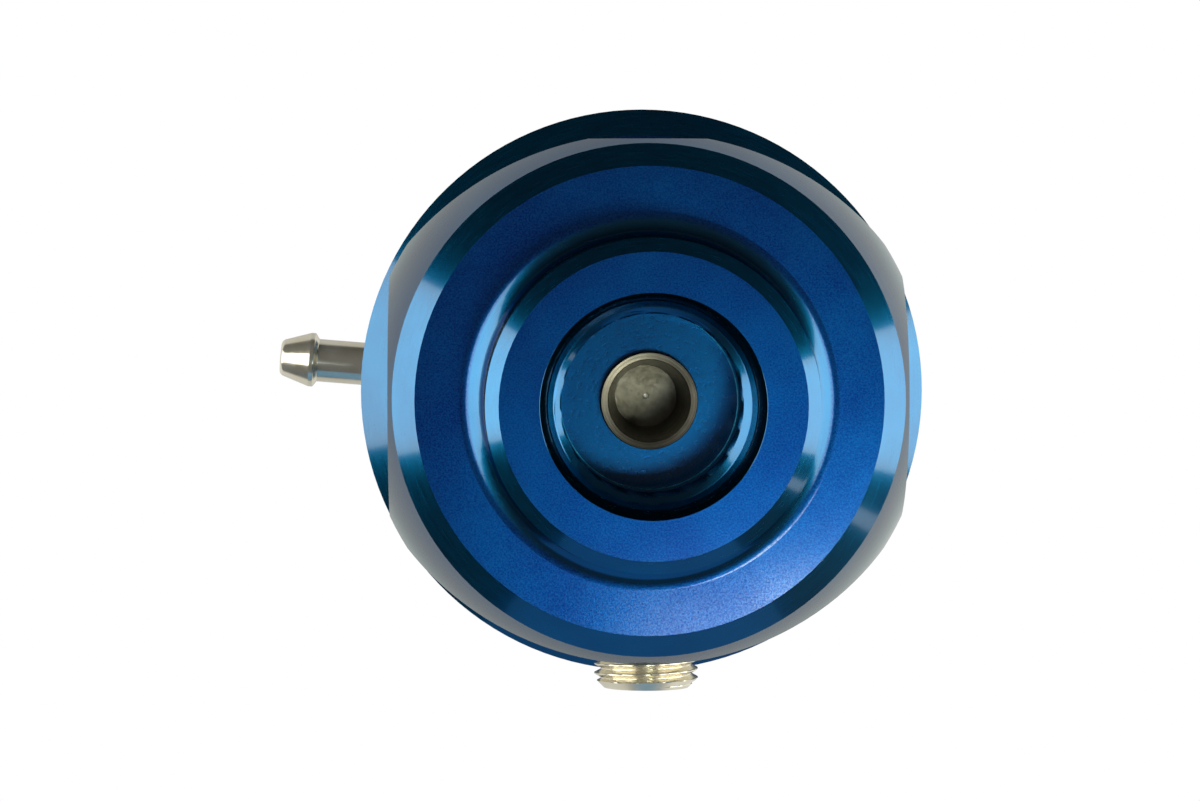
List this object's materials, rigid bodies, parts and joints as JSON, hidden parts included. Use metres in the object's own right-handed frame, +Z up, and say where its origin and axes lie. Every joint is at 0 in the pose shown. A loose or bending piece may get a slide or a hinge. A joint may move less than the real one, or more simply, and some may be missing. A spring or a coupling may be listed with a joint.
{
  "type": "fuel pressure regulator",
  "caption": "Diaphragm fuel pressure regulator with side inlet ports, a return port underneath, a gauge port plug, a hose barb and an adjusting screw with lock nut on top.",
  "frame": {"origin": "centre of the return-port boss's face, on the regulator's axis, which is the underside that the part can stand on", "axes": "+Z up the regulator's axis to the adjusting screw, +X out of the inlet on the hose barb's side, -Y out of the gauge port"},
  "size_m": [0.0668, 0.058, 0.1],
  "materials": {
    "body_blue": "bead blasted and anodised blue",
    "cap_blue": "bead blasted and anodised blue",
    "screw_steel": "stainless steel, machined",
    "seat_steel": "turned steel",
    "valve_steel": "ground and turned steel",
    "carrier_steel": "turned steel",
    "plate_steel": "turned steel",
    "spring_steel": "oil-tempered wire",
    "washer_zinc": "zinc plated, with a bonded rubber lip",
    "nickel_plate": "nickel plated brass",
    "seal_rubber": "fluorocarbon rubber",
    "diaphragm_rubber": "fabric-reinforced fluorocarbon rubber"
  },
  "bodies": {
    "housing": {"body": "body_blue", "valve_seat": "seat_steel", "seat_oring": "seal_rubber", "gauge_plug": "nickel_plate", "diaphragm": "diaphragm_rubber", "main_spring": "spring_steel", "cap": "cap_blue", "cap_screws": "screw_steel", "hose_barb": "nickel_plate", "barb_oring": "seal_rubber"},
    "valve": {"valve_carrier": "carrier_steel", "valve_disc": "valve_steel", "valve_ball": "valve_steel", "diaphragm_washer": "plate_steel", "spring_cup": "plate_steel", "carrier_nut": "screw_steel"},
    "spring_seat": {"spring_top_seat": "plate_steel"},
    "screw": {"adjusting_screw": "screw_steel"},
    "washer": {"seal_washer": "washer_zinc"},
    "nut": {"lock_nut": "screw_steel"}
  },
  "joints": [
    {"name": "valve_lift", "type": "slide", "parent": "housing", "child": "valve", "axis": [0, 0, 1], "range_m": [0, 0.0008], "stiffness_N_per_m": 17300, "springref_m": -0.013, "deforming": ["diaphragm"]},
    {"name": "screw_feed", "type": "slide", "parent": "housing", "child": "spring_seat", "axis": [0, 0, 1], "range_m": [-0.005, 0.002], "deforming": ["main_spring"]},
    {"name": "screw_turn", "type": "hinge", "parent": "spring_seat", "child": "screw", "pos_m": [0, 0, 0.0865], "axis": [0, 0, 1], "range_deg": [-1800, 720]},
    {"name": "nut_lift", "type": "slide", "parent": "housing", "child": "washer", "axis": [0, 0, 1], "range_m": [0, 0.003]},
    {"name": "nut_turn", "type": "hinge", "parent": "washer", "child": "nut", "pos_m": [0, 0, 0.088], "axis": [0, 0, 1], "range_deg": [0, 1080]}
  ],
  "couplings": [
    {"joint": "screw_turn", "follows": "screw_feed", "rad_per_m": 6283.2},
    {"joint": "nut_turn", "follows": "nut_lift", "rad_per_m": 6283.2}
  ]
}
